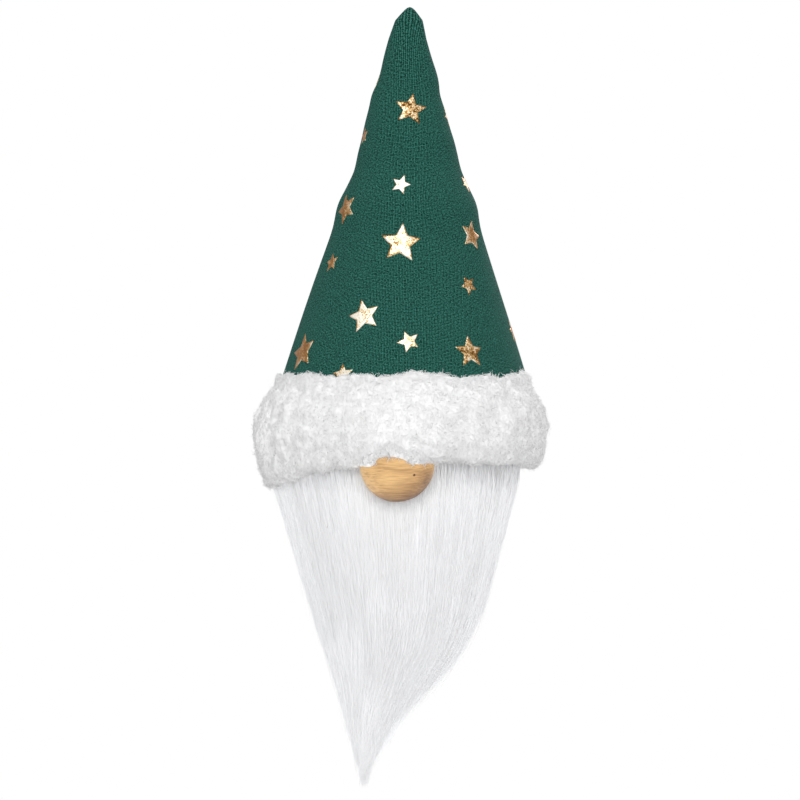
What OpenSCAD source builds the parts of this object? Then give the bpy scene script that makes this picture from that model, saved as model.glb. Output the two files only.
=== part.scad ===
// Tomte gnome topper: a stuffed-tip cloth hat with a fleece brim, a wooden
// nose and a fur beard flap, which slips over a bottle shoulder or a post.
// +Z up, front towards -Y. The origin is the centre of the hat's round mouth.

/* [Hat] */
// Height of the hat's tip above the mouth
hat_tip_z = 192; // [188:1:198]
// Outer radius of the cloth cone where it leaves the brim
hat_brim_r = 50.3; // [50:0.1:51]
// Height of the soft crease where the tip bends
crease_z = 130; // [129:1:131]
// Outer radius of the cloth at the crease
crease_r = 21.3; // [21:0.1:21.6]
// Thickness of the printed cotton with its lining
cloth_t = 0.8; // [0.6:0.1:0.9]
// Thickness of the felt stiffener cone
stiffener_t = 1.2; // [1:0.1:1.3]

/* [Brim] */
// Height of the fleece brim
brim_h = 42; // [41:0.5:43]
// Outer radius of the fleece brim
brim_r = 60.5; // [60:0.5:63]
// Inner radius of the card ring that keeps the mouth round
mouth_r = 45; // [44.6:0.1:45]
// Height of the card ring
ring_h = 22; // [18:1:22]
// Wall of the card ring
ring_t = 1.2; // [0.8:0.1:1.2]

/* [Nose] */
// Radius of the wooden nose
nose_r = 15; // [14:0.5:15]
// Height of the nose's centre above the mouth
nose_z = 6; // [6:0.5:8]
// How far the nose sits off the middle
nose_x = -1.2; // [-2:0.1:2]

/* [Beard] */
// Length that the beard hangs below the mouth
beard_len = 126; // [110:1:140]
// Half width of the beard under the brim
beard_half_w = 50; // [46:1:52]
// Height of the fold line where the beard flap lifts
fold_z = -11; // [-14:0.5:-11]

/* [Foil stars] */
// Thickness of the hot-foil print
foil_t = 0.12; // [0.1:0.02:0.2]
// Inner radius of a star as a share of its outer radius
star_waist = 0.42; // [0.36:0.02:0.5]

/* [Hidden] */
$fn = 96;
eps = 0.01;

green = [0.10, 0.30, 0.25];
gold = [0.80, 0.62, 0.30];
white = [0.93, 0.93, 0.93];
felt_grey = [0.80, 0.79, 0.75];
card_brown = [0.62, 0.50, 0.36];
wood = [0.86, 0.68, 0.45];
glue_clear = [0.90, 0.88, 0.80];

// Cloth cones: the lower cone, the crease band and the tip.
fold_half = 5;                         // half height of the crease band
low_end_z = crease_z - fold_half;
tip_start_z = crease_z + fold_half;
hat_hem_z = 26;                        // lower edge of the cloth, inside the brim
fold_step = 1.8;                       // the band narrows by this on each side of the crease
low_slope = (hat_brim_r - crease_r - fold_step) / (low_end_z - brim_h);
tip_slope = 0.268;
tip_start_r = crease_r - fold_step;
tip_centre_z = hat_tip_z - 5.4;        // centre of the tip's round end
stiffener_top_z = 118;
layer_gap = 0.1;                       // between layers that lie on each other
seam_half_w = 3;                       // half width of the turned-in seam allowance
seam_half_slot = 4.5;                  // half width of the slot for it in the layers under it
seam_deep = 9;                         // how deep the slot goes in the stuffing
foil_end_z = tip_centre_z - 2;         // where the tip's print and stuffing end

// Stitches, all the same size.
stitch_len = 4;
thread_r = 0.25;

// Layers inside the brim, from the mouth outwards.
tape_r = mouth_r + ring_t + layer_gap; // inner face of the beard's knit tape
tape_t = 0.8;
pile_r = tape_r + tape_t;              // where the beard's pile starts
leg_r = 47.3;                          // inner face of the folded-in fleece
leg_t = 3;
leg_low_z = 2.5;
leg_top_z = 24;
wad_r = 57.2;                          // outer face of the wadding roll
wad_z = 9;
wad_round = 2;                         // size of the roll's blunted corners
brim_mid_r = 49;                       // where the brim's outline is highest and lowest
bead_z = 7;                            // lower side of the glue bead round the back
bead_h = 5;
join_stitches_z = [14:2:20];

// Nose and its glue.
nose_y = -53;
nose_flat_y = -50.4;
nose_gap = 0.3;
glue_r = 7;
glue_len = 10;
glue_drop = 2;                         // the glue sits lower than the nose's centre
bulge_r = 25;                          // the brim's swelling over the nose
bulge_y = -43;
bulge_z = 26;
bulge_lip_z = 14;                      // its lower edge, which laps over the nose

// Beard.
body_gap = 0.3;                        // from each side of the fold to its edge
root_top_z = -0.4;                     // the pile starts just under the brim
belly_share = 0.4;                     // how far down the beard it is fullest
belly_r = 58;
root_r = 53.5;
point_r = 51;
backing_inset = 4;                     // from the pile's side edges to the knit's
backing_short = 30;                    // the knit ends this far above the fur's point
reach = 80;                            // longer than any cut

// Foil print, as [turn round the hat, height, size, turn of the star].
// The turn is 0 at the front and grows to the wearer's left.
low_stars = [[-7, 117, 4, 5], [-4, 95, 8.5, 18], [-25, 66, 6.4, 10], [2, 56, 4.1, 30],
             [-62, 52, 7, 40], [34, 52, 5.7, 20], [42, 79, 3.6, 50], [60, 99, 6, 8],
             [-59, 110, 6.5, 30], [-63, 88, 3.6, 60], [72, 119, 4, 15], [86, 61, 4, 35]];
high_stars = [[8, 152, 6.4, 15], [-67, 141, 3.6, 20], [120, 156, 4, 50], [-130, 160, 5, 0]];
print_repeat = 180;                    // the print comes round again on the back

// Outer radius of the lower cloth cone at a height.
function low_r(z) = hat_brim_r - low_slope * (z - brim_h);

// Outer radius of the tip cone at a height.
function tip_r(z) = tip_start_r - tip_slope * (z - tip_start_z);

// Half of the brim's rounded outline: square lower corner, rounder top.
function brim_point(a) =
    let (mid_z = brim_h / 2, power = a < 0 ? 2 / 3 : 1)
    [brim_mid_r + (brim_r - brim_mid_r) * pow(cos(a), power),
     mid_z + mid_z * sign(a) * pow(abs(sin(a)), power)];

// A solid of revolution between two heights of a cone.
module frustum(z0, z1, r0, r1) {
    translate([0, 0, z0]) cylinder(h = z1 - z0, r1 = r0, r2 = r1);
}

// A cone wall between two heights, measured inwards from its outer radii.
module cone_wall(z0, z1, r0, r1, t) {
    difference() {
        frustum(z0, z1, r0, r1);
        frustum(z0 - eps, z1 + eps, r0 - t, r1 - t);
    }
}

// A straight ring between two heights.
module ring(z0, z1, inner, outer) {
    difference() {
        frustum(z0, z1, outer, outer);
        frustum(z0 - eps, z1 + eps, inner, inner);
    }
}

// Everything behind the hat's axis.
module rear_half() {
    translate([-reach, eps, -2 * reach]) cube([2 * reach, reach, 4 * reach]);
}

// Everything in front of a plane that stands at the depth y.
module in_front_of(y, z0, z1) {
    translate([-reach, y - reach, z0]) cube([2 * reach, reach, z1 - z0]);
}

// Carries its children to a height on the lower cone's surface, facing outwards.
module on_low_cone(turn, z) {
    rotate([0, 0, turn]) translate([0, -low_r(z), z])
        rotate([-atan(low_slope), 0, 0]) children();
}

// A five-pointed star, drawn flat.
module star_outline(size) {
    polygon([for (i = [0:9])
        let (r = i % 2 == 0 ? size : size * star_waist, a = 36 * i)
        [r * cos(a), r * sin(a)]]);
}

// One stitch's straight run of thread.
module stitch() {
    cylinder(h = stitch_len, r = thread_r, center = true, $fn = 16);
}

// A star's prism through the cloth, at its place on the hat.
module star_prism(turn, z, size, spin, r) {
    rotate([0, 0, turn]) translate([0, -r, z]) rotate([90, 0, 0])
        linear_extrude(height = 8, center = true) rotate(spin) star_outline(size);
}

module hat_cloth() {
    color(green) union() {
        cone_wall(hat_hem_z, low_end_z, low_r(hat_hem_z), low_r(low_end_z), cloth_t);
        seam_allowance();
    }
}

// The cloth's two edges, turned in along the back.
module seam_allowance() {
    start_z = hat_hem_z + 4;
    end_z = stiffener_top_z - 2;
    length = (end_z - start_z) / cos(atan(low_slope));
    thickness = 1.2;
    sunk = 0.3;
    on_low_cone(180, (start_z + end_z) / 2)
        translate([-seam_half_w, cloth_t - sunk, -length / 2])
            cube([2 * seam_half_w, thickness, length]);
}

module hat_fold_band() {
    color(green)
        cone_wall(low_end_z, tip_start_z, low_r(low_end_z), tip_start_r, cloth_t);
}

module tip_solid(inset) {
    round_r = tip_r(tip_centre_z) * cos(atan(tip_slope));
    top_z = tip_centre_z + round_r * sin(atan(tip_slope));
    frustum(tip_start_z, top_z, tip_start_r - inset, tip_r(top_z) - inset);
    translate([0, 0, tip_centre_z]) sphere(r = round_r - inset);
}

module hat_tip_cloth() {
    color(green) difference() {
        tip_solid(0);
        translate([0, 0, -eps]) tip_solid(cloth_t);
    }
}

module foil_stars() {
    color(gold) intersection() {
        cone_wall(hat_hem_z, low_end_z, low_r(hat_hem_z) + foil_t,
                  low_r(low_end_z) + foil_t, foil_t);
        union() for (side = [0, print_repeat], s = low_stars)
            star_prism(s[0] + side, s[1], s[2], s[3], low_r(s[1]));
    }
}

module tip_stars() {
    color(gold) intersection() {
        cone_wall(tip_start_z, foil_end_z, tip_start_r + foil_t,
                  tip_r(foil_end_z) + foil_t, foil_t);
        union() for (s = high_stars)
            star_prism(s[0], s[1], s[2], s[3], tip_r(s[1]));
    }
}

// Machine stitches along the turned-in seam.
module seam_thread() {
    start_z = hat_hem_z + 10;
    pitch = 7;
    thread_in = 1.15;
    color(green) for (z = [start_z:pitch:stiffener_top_z - 6])
        on_low_cone(180, z) translate([0, cloth_t + thread_in, 0]) stitch();
}

module stiffener_cone() {
    skin = cloth_t + layer_gap;
    color(felt_grey) difference() {
        cone_wall(hat_hem_z, stiffener_top_z, low_r(hat_hem_z) - skin,
                  low_r(stiffener_top_z) - skin, stiffener_t);
        translate([-seam_half_slot, 0, 0]) cube([2 * seam_half_slot, reach, 2 * reach]);
    }
}

// The lower wad of stuffing: a bottle's mouth stops against its flat underside.
module stuffing_plug() {
    skin = cloth_t + layer_gap + stiffener_t + layer_gap;
    plug_z = 100;
    color(white) difference() {
        frustum(plug_z, stiffener_top_z, low_r(plug_z) - skin, low_r(stiffener_top_z) - skin);
        translate([-seam_half_slot, low_r(plug_z) - seam_deep, 0])
            cube([2 * seam_half_slot, reach, 2 * reach]);
    }
}

module tip_stuffing() {
    wad_low_z = tip_start_z + 1;
    skin = cloth_t + layer_gap;
    color(white)
        frustum(wad_low_z, foil_end_z, tip_r(wad_low_z) - skin, tip_r(foil_end_z) - skin);
}

// The nose's ball and its flat back, turned about the line that the flat faces.
module nose_solid(r, flat_y) {
    intersection() {
        translate([nose_x, nose_y, nose_z]) rotate([90, 0, 0]) sphere(r = r);
        in_front_of(flat_y, -reach, reach);
    }
}

// The dab of glue as a round rod, back to the hat's inside.
module glue_rod(r) {
    translate([nose_x, nose_flat_y, nose_z - glue_drop])
        rotate([-90, 0, 0]) cylinder(h = glue_len, r = r);
}

// The space that the nose and its glue take in the brim and the beard.
module nose_pocket() {
    nose_solid(nose_r + nose_gap, nose_flat_y + layer_gap / 2);
    glue_rod(glue_r + layer_gap);
}

// The opening under the nose, where the brim's lower edge stops on each side of it.
module nose_opening() {
    intersection() {
        translate([nose_x, nose_y, nose_z - 2 * nose_r])
            cylinder(h = 2 * nose_r, r = nose_r + nose_gap);
        in_front_of(nose_flat_y, -reach, reach);
    }
}

// The brim's swelling over the top of the nose.
module nose_bulge() {
    intersection() {
        translate([nose_x, bulge_y, bulge_z]) sphere(r = bulge_r);
        in_front_of(-brim_mid_r, bulge_lip_z, brim_h - 1);
    }
}

// The fleece strip in section: an outer leg, a turned-under fold and an inner leg.
module fleece_section() {
    polygon(concat(
        [for (a = [-90:10:80]) brim_point(a)],
        [[low_r(brim_h) + layer_gap, brim_h],
         [low_r(hat_hem_z) + layer_gap, hat_hem_z],
         [wad_r, hat_hem_z - 1],
         [wad_r, wad_z],
         [leg_r + leg_t, wad_z],
         [leg_r + leg_t, leg_top_z],
         [leg_r, leg_top_z],
         [leg_r, leg_low_z]]));
}

module brim_fleece() {
    color(white) difference() {
        union() {
            rotate_extrude() fleece_section();
            difference() {
                nose_bulge();
                frustum(-eps, brim_h + eps, wad_r + 0.3, wad_r + 0.3);
            }
        }
        nose_pocket();
        nose_opening();
    }
}

module brim_wadding() {
    inner = leg_r + leg_t + layer_gap;
    outer = wad_r - layer_gap;
    low_z = wad_z + layer_gap;
    top_z = hat_hem_z - 0.3;
    color(white) difference() {
        rotate_extrude() polygon([
            [inner, wad_z + wad_round], [inner + wad_round, low_z], [outer - wad_round, low_z],
            [outer, wad_z + wad_round], [outer, leg_top_z - wad_round],
            [outer - wad_round, top_z], [inner, leg_top_z]]);
        nose_pocket();
        nose_opening();
    }
}

module brim_ring() {
    color(card_brown) ring(0, ring_h, mouth_r, mouth_r + ring_t);
}

// Hot-melt glue between the card ring and the fleece, round the back.
module rear_glue_bead() {
    color(glue_clear) intersection() {
        ring(bead_z, bead_z + bead_h, mouth_r + ring_t, leg_r);
        rear_half();
    }
}

// Whip stitches that close the fleece strip at the back.
module brim_join_thread() {
    inside_leg = 0.2;
    color(white) for (z = join_stitches_z)
        translate([0, leg_r - inside_leg, z]) rotate([0, 80, 0]) stitch();
}

// The knit edge of the beard fabric, glued between the ring and the fleece.
module beard_tape() {
    half_w = beard_half_w - backing_inset;
    color(white) intersection() {
        ring(fold_z + body_gap, ring_h, tape_r, pile_r);
        across_front()
            translate([-half_w, fold_z]) square([2 * half_w, ring_h - fold_z]);
    }
}

// The beard's outline from the front, which leans to a point on its right.
module beard_outline() {
    w = beard_half_w;
    l = beard_len;
    polygon([[-w, 0], [-0.87 * w, -0.23 * l], [-0.58 * w, -0.62 * l], [-0.4 * w, -0.88 * l],
             [-0.29 * w, -l], [-0.12 * w, -0.89 * l], [0.16 * w, -0.74 * l],
             [0.5 * w, -0.58 * l], [0.7 * w, -0.42 * l], [0.8 * w, -0.23 * l], [0.97 * w, 0]]);
}

// The beard's fur as one soft mass, from the brim to the tip.
module beard_mass() {
    belly_z = -belly_share * beard_len;
    intersection() {
        difference() {
            union() {
                frustum(belly_z, 0, belly_r, root_r);
                frustum(-beard_len - 1, belly_z, point_r, belly_r);
            }
            frustum(-2 * reach, reach, pile_r, pile_r);
        }
        across_front() beard_outline();
    }
}

module beard_root_pile() {
    color(white) difference() {
        intersection() {
            beard_mass();
            in_front_of(0, fold_z + body_gap, root_top_z);
        }
        nose_pocket();
    }
}

// The knit backing's outline, inside the pile's.
module backing_outline() {
    w = beard_half_w - backing_inset;
    l = beard_len - backing_short;
    polygon([[-w, 0], [-0.62 * w, -0.6 * l], [-0.3 * w, -l], [0.1 * w, -0.86 * l],
             [0.62 * w, -0.5 * l], [0.9 * w, 0]]);
}

// Stands a flat outline up across the front of the hat.
module across_front() {
    rotate([90, 0, 0]) linear_extrude(height = reach) children();
}

// Everything that lifts with the beard flap.
module below_fold() {
    in_front_of(0, -2 * reach, fold_z - body_gap);
}

module beard_backing() {
    color(white) intersection() {
        ring(-beard_len, 0, tape_r, pile_r);
        across_front() backing_outline();
        below_fold();
    }
}

module beard_pile() {
    color(white) intersection() {
        beard_mass();
        below_fold();
    }
}

module nose_ball() {
    color(wood) nose_solid(nose_r, nose_flat_y);
}

// The dab of glue between the nose's flat back and the knit tape.
module nose_glue() {
    color(glue_clear) difference() {
        glue_rod(glue_r);
        frustum(-reach, reach, pile_r, pile_r);
    }
}

hat_cloth();
hat_fold_band();
hat_tip_cloth();
foil_stars();
tip_stars();
seam_thread();
stiffener_cone();
stuffing_plug();
tip_stuffing();
brim_fleece();
brim_wadding();
brim_ring();
rear_glue_bead();
brim_join_thread();
beard_tape();
beard_root_pile();
beard_backing();
beard_pile();
nose_ball();
nose_glue();
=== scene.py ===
"""The looks of a gnome topper: cloth hat, foil stars, curly brim, wooden nose and fur beard.

Shapes are worked out in millimetres in the CAD model's frame, and new_piece turns them into metres.
A turn is an angle round the hat, 0 at the front and growing towards +X.
"""
import math
from collections import namedtuple

import bpy
import numpy as np
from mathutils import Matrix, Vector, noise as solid_noise


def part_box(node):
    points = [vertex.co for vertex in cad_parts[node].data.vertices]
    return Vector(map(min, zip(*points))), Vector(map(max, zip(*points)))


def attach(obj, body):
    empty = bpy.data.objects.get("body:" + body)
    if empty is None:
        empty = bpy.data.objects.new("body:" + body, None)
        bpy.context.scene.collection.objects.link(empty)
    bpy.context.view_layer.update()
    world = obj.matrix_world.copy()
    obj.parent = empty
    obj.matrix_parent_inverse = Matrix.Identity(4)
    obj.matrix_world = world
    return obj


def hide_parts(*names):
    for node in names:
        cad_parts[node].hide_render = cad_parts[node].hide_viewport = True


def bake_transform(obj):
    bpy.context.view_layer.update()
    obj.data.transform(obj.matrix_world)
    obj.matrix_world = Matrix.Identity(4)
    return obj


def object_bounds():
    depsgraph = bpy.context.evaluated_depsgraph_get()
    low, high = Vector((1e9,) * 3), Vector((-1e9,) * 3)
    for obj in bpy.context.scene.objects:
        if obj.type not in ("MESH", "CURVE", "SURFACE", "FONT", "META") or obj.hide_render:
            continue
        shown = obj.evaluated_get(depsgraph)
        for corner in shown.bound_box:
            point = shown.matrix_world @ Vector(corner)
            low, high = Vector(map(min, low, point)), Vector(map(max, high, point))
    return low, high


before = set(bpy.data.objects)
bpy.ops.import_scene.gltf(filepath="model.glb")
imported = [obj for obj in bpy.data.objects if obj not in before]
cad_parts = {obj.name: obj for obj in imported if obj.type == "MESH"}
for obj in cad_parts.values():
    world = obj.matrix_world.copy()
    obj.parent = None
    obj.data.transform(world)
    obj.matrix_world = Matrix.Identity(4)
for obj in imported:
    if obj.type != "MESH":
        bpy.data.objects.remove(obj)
cad_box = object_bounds()

MM = 0.001
MAX_PIECE_TRIANGLES = 190000
OWN_ROUNDNESS = 0.2  # how far a hair's own round shape shows in its shading
FRINGE_ROUNDNESS = 3  # the same on the far side of the hairs at a free edge
FAR_SIDE = -0.5  # cosine from the way the coat faces, where that side starts
TAU = 2 * math.pi


def cad_mm(node):
    """The lowest and highest corners of a CAD node, in millimetres."""
    low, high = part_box(node)
    return np.array(low) / MM, np.array(high) / MM


def cad_heights(node):
    """A CAD node's lowest and highest points, in millimetres."""
    low, high = cad_mm(node)
    return low[2], high[2]


HEM_Z = cad_heights("hat_cloth")[0]  # lower edge of the cloth, inside the brim
BRIM_TOP = cad_heights("brim_fleece")[1]
HAT_TOP = cad_heights("hat_tip_cloth")[1] + 1
NOSE_LOW, NOSE_HIGH = cad_mm("nose_ball")
NOSE_R = (NOSE_HIGH[0] - NOSE_LOW[0]) / 2
NOSE_CENTRE = np.array([(NOSE_LOW[0] + NOSE_HIGH[0]) / 2, NOSE_LOW[1] + NOSE_R,
                        (NOSE_LOW[2] + NOSE_HIGH[2]) / 2])
TAPE_LOW, TAPE_HIGH = cad_mm("beard_tape")
KNIT_OUTER = -TAPE_LOW[1]
KNIT_T = 0.8
KNIT_INNER = KNIT_OUTER - KNIT_T
KNIT_LOW = cad_heights("beard_backing")[0]
BEARD_TIP = cad_heights("beard_pile")[0]


# ---- meshes

def new_piece(name, points, faces, fields=None, uvs=None, normals=None):
    """A mesh object from points in millimetres and arrays of faces with equal corner counts."""
    mesh = bpy.data.meshes.new(name)
    mesh.vertices.add(len(points))
    mesh.vertices.foreach_set("co", (np.asarray(points, dtype=np.float64) * MM).ravel())
    corners = np.concatenate([f.ravel() for f in faces]).astype(np.int32)
    corner_counts = np.concatenate([np.full(len(f), f.shape[1]) for f in faces])
    starts = np.concatenate([[0], np.cumsum(corner_counts)[:-1]]).astype(np.int32)
    mesh.loops.add(len(corners))
    mesh.loops.foreach_set("vertex_index", corners)
    mesh.polygons.add(len(corner_counts))
    mesh.polygons.foreach_set("loop_start", starts)
    mesh.update(calc_edges=True)
    mesh.shade_smooth()
    for layer_name, values in (uvs or {}).items():
        layer = mesh.uv_layers.new(name=layer_name)
        layer.data.foreach_set("uv", values[corners].astype(np.float32).ravel())
    for field, values in (fields or {}).items():
        attribute = mesh.attributes.new(field, "FLOAT", "POINT")
        attribute.data.foreach_set("value", values.astype(np.float32).ravel())
    if normals is not None:
        mesh.normals_split_custom_set_from_vertices(normals.tolist())
    piece = bpy.data.objects.new(name, mesh)
    bpy.context.scene.collection.objects.link(piece)
    return piece


def grid_quads(rows, cols, closed):
    """Quads over a grid of points, whose last column joins the first if it is closed."""
    last = cols if closed else cols - 1
    i, j = np.meshgrid(np.arange(rows - 1), np.arange(last), indexing="ij")
    k = (j + 1) % cols
    return np.stack([i * cols + j, i * cols + k, (i + 1) * cols + k, (i + 1) * cols + j],
                    axis=-1).reshape(-1, 4)


def strip_quads(first, second, closed):
    """Quads between two equal rows of point numbers."""
    if closed:
        first, second = np.append(first, first[0]), np.append(second, second[0])
    return np.stack([first[:-1], first[1:], second[1:], second[:-1]], axis=-1)


def shell_faces(rows, cols, closed):
    """The faces of a shell between two grids of points: outside, inside and a list of the rims."""
    count = rows * cols
    numbers = np.arange(count).reshape(rows, cols)
    outside = grid_quads(rows, cols, closed)
    rims = [strip_quads(numbers[0] + count, numbers[0], closed),
            strip_quads(numbers[-1], numbers[-1] + count, closed)]
    if not closed:
        rims += [strip_quads(numbers[:, 0], numbers[:, 0] + count, False),
                 strip_quads(numbers[:, -1] + count, numbers[:, -1], False)]
    return outside, outside[:, ::-1] + count, rims


def sheet_piece(name, outer, inner, closed, uvs=None):
    """A thin closed shell between two grids of points."""
    outside, inside, rims = shell_faces(*outer.shape[:2], closed)
    points = np.concatenate([outer.reshape(-1, 3), inner.reshape(-1, 3)])
    layers = {k: np.concatenate([v.reshape(-1, 2)] * 2) for k, v in (uvs or {}).items()}
    return new_piece(name, points, [outside, inside, *rims], uvs=layers)


def closed_form(name, points):
    """A mesh from rings of points, closed at both ends."""
    rows, cols = points.shape[:2]
    count = rows * cols
    first, last = np.arange(cols), np.arange(count - cols, count)
    ends = np.array([points[0].mean(0), points[-1].mean(0)])
    caps = [np.stack([np.full(cols, count), np.roll(first, -1), first], axis=-1),
            np.stack([np.full(cols, count + 1), last, np.roll(last, -1)], axis=-1)]
    return new_piece(name, np.concatenate([points.reshape(-1, 3), ends]),
                     [grid_quads(rows, cols, True), *caps])


def settle(piece, material, slot, carry, *nodes):
    """Gives a piece its material, fixes it by carry, and takes the place of CAD nodes."""
    piece.data.materials.append(material)
    carry(piece)
    if nodes:
        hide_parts(*nodes)


def on_hat(piece):
    """Fixes a piece to the hat."""
    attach(piece, "hat")


def on_tip(piece):
    """Fixes a piece to the hat's tip."""
    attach(piece, "hat_tip")


def polar(turn, r, z):
    """Points at a turn round the upright axis, a distance from it and a height."""
    return np.stack(np.broadcast_arrays(r * np.sin(turn), -r * np.cos(turn), z), axis=-1)


def ripple(points, wavelength, rng, waves=20):
    """Smooth random waves over points, with a spread of about 1."""
    ways = rng.normal(size=(waves, points.shape[-1]))
    ways /= np.linalg.norm(ways, axis=1, keepdims=True)
    ways *= TAU / (wavelength * rng.uniform(0.7, 1.4, (waves, 1)))
    phase = rng.uniform(0, TAU, waves)
    return np.cos(points @ ways.T + phase).sum(axis=-1) * math.sqrt(2 / waves)


def bump(x, middle, width):
    """A smooth hump of height 1."""
    return np.exp(-((x - middle) / width) ** 2)


def unit(vectors):
    """The vectors at length 1."""
    return vectors / np.maximum(np.linalg.norm(vectors, axis=-1, keepdims=True), 1e-9)


def strand_pieces(name, paths, radii, tone, side_on, facing, rng, fringe=None):
    """Closed three-sided hairs along paths of shape (hairs, points, 3), in pieces of limited size.

    side_on holds one direction per hair that the hair never runs along, and facing holds the
    way that the coat faces at each point, so that fine hairs take light as one soft surface.
    fringe is true for the hairs that are seen from behind as well.
    """
    fringe = np.zeros(len(paths), dtype=bool) if fringe is None else fringe
    steps = paths.shape[1]
    per_piece = MAX_PIECE_TRIANGLES // (6 * (steps - 1) + 2)
    order = rng.permutation(len(paths))
    for start in range(0, len(paths), per_piece):
        chosen = order[start:start + per_piece]
        label = f"{name}_{start // per_piece + 1:02d}"
        yield strand_piece(label, paths[chosen], radii[chosen], tone[chosen], side_on[chosen],
                           facing[chosen], fringe[chosen])


def strand_piece(name, paths, radii, tone, side_on, facing=None, fringe=None):
    """One mesh of closed three-sided hairs, each with its own cell of the bake's UV square."""
    hairs, steps = paths.shape[:2]
    along = unit(np.gradient(paths, axis=1))
    across = side_on[:, None, :] - along * (side_on[:, None, :] * along).sum(-1, keepdims=True)
    across = unit(across)
    up = np.cross(along, across)
    angles = (np.arange(3) * TAU / 3)[:, None]
    spokes = np.cos(angles) * across[:, :, None, :] + np.sin(angles) * up[:, :, None, :]
    rings = paths[:, :, None, :] + radii[:, :, None, None] * spokes
    normals = None if facing is None else soft_normals(facing[:, :, None, :], spokes, fringe)
    first = (np.arange(hairs) * steps * 3)[:, None]
    ring_quads = np.array([[3 * j + s, 3 * j + (s + 1) % 3, 3 * j + 3 + (s + 1) % 3, 3 * j + 3 + s]
                           for j in range(steps - 1) for s in range(3)])
    quads = (first[:, :, None] + ring_quads[None]).reshape(-1, 4)
    last = 3 * (steps - 1)
    caps = np.array([[0, 2, 1], [last, last + 1, last + 2]])
    tris = (first[:, :, None] + caps[None]).reshape(-1, 3)
    tones = np.repeat(tone.reshape(hairs, -1) * np.ones(steps), 3, axis=1)
    return new_piece(name, rings.reshape(-1, 3), [quads, tris], {"tone": tones},
                     {"OFBake": bake_cells(hairs, steps)}, normals)


def soft_normals(facing, spokes, fringe):
    """Normals between the way the coat faces and each hair's own round shape."""
    away = (spokes * facing).sum(-1, keepdims=True) < FAR_SIDE
    roundness = np.where(away & fringe[:, None, None, None], FRINGE_ROUNDNESS, OWN_ROUNDNESS)
    return unit(facing + roundness * spokes).reshape(-1, 3)


def bake_cells(hairs, steps):
    """UVs that give each hair a cell of a square grid."""
    cells = math.ceil(math.sqrt(hairs))
    column, row = np.arange(hairs) % cells, np.arange(hairs) // cells
    u = (column[:, None, None] + 0.15 + 0.35 * np.arange(3)[None, None, :]) / cells
    v = (row[:, None, None] + 0.1 + 0.8 * np.linspace(0, 1, steps)[None, :, None]) / cells
    return np.stack(np.broadcast_arrays(u, v), axis=-1).reshape(-1, 2)


# ---- material nodes

def add(tree, kind, values=None, **settings):
    """A new node, with its settings and with numbers or other nodes' sockets on its inputs."""
    new = tree.nodes.new(kind)
    for key, value in settings.items():
        setattr(new, key, value)
    for socket, value in (values or {}).items():
        if isinstance(value, bpy.types.NodeSocket):
            tree.links.new(value, new.inputs[socket])
        else:
            new.inputs[socket].default_value = value
    return new


def calc(tree, operation, first, second=0.0):
    """The output of a math node."""
    return add(tree, "ShaderNodeMath", {0: first, 1: second}, operation=operation).outputs[0]


def fitted(tree, value, scale, offset):
    """A value times a scale, plus an offset."""
    return add(tree, "ShaderNodeMath", {0: value, 1: scale, 2: offset},
               operation="MULTIPLY_ADD").outputs[0]


def weighted(tree, *parts):
    """The sum of values that are given with their weights."""
    total = 0.0
    for value, weight in parts:
        total = fitted(tree, value, weight, total)
    return total


def ramp(tree, factor, stops):
    """The colour output of a ramp with (place, colour) stops."""
    new = add(tree, "ShaderNodeValToRGB", {"Fac": factor})
    elements = new.color_ramp.elements
    while len(elements) < len(stops):
        elements.new(0.5)
    for element, (place, colour) in zip(elements, stops):
        element.position = place
        element.color = (*colour, 1)
    return new.outputs["Color"]


def mixed(tree, share, first, second):
    """Two colours mixed, with this share of the second."""
    return add(tree, "ShaderNodeMix", {"Factor": share, "A": first, "B": second},
               data_type="RGBA").outputs["Result"]


def noise(tree, vector, scale, detail=3.0, rough=0.5):
    """The value output of a noise texture."""
    return add(tree, "ShaderNodeTexNoise",
               {"Vector": vector, "Scale": scale, "Detail": detail, "Roughness": rough}).outputs[0]


def stretched(tree, vector, scale):
    """Coordinates scaled by axis."""
    return add(tree, "ShaderNodeMapping", {"Vector": vector, "Scale": scale}).outputs[0]


def axes(tree, vector):
    """The x, y and z of a vector."""
    return list(add(tree, "ShaderNodeSeparateXYZ", {0: vector}).outputs)


def distance(tree, place, middle):
    """How far a place is from a fixed middle."""
    return add(tree, "ShaderNodeVectorMath", {0: place, 1: tuple(middle)},
               operation="DISTANCE").outputs["Value"]


def own_tone(tree):
    """The tone stored on the piece's points."""
    return add(tree, "ShaderNodeAttribute", attribute_name="tone").outputs["Fac"]


def flat_mm(tree):
    """The place on the flat cloth, in millimetres."""
    return add(tree, "ShaderNodeUVMap", uv_map="flat").outputs[0]


def place_mm(tree):
    """The point on the piece, in millimetres."""
    here = add(tree, "ShaderNodeTexCoord").outputs["Object"]
    return stretched(tree, here, (1 / MM,) * 3)


def new_material(name, **settings):
    """A material with its shader's own values; returns the material, its tree and its shader."""
    material = bpy.data.materials.new(name)
    material.use_nodes = True
    tree = material.node_tree
    shader = tree.nodes["Principled BSDF"]
    for socket, value in settings.items():
        shader.inputs[socket.replace("_", " ")].default_value = value
    return material, tree, shader


def put_bump(tree, shader, height, depth_mm, strength=1.0):
    """Bumps the shader by a height from 0 to 1."""
    relief = add(tree, "ShaderNodeBump",
                 {"Height": height, "Distance": depth_mm * MM, "Strength": strength})
    tree.links.new(relief.outputs[0], shader.inputs["Normal"])


def put_colour(tree, shader, colour):
    """Links a colour to the shader."""
    tree.links.new(colour, shader.inputs["Base Color"])


def put_ramp(tree, shader, factor, *stops):
    """Colours the shader by a value, through a ramp with (place, colour) stops."""
    put_colour(tree, shader, ramp(tree, factor, stops))


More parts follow.
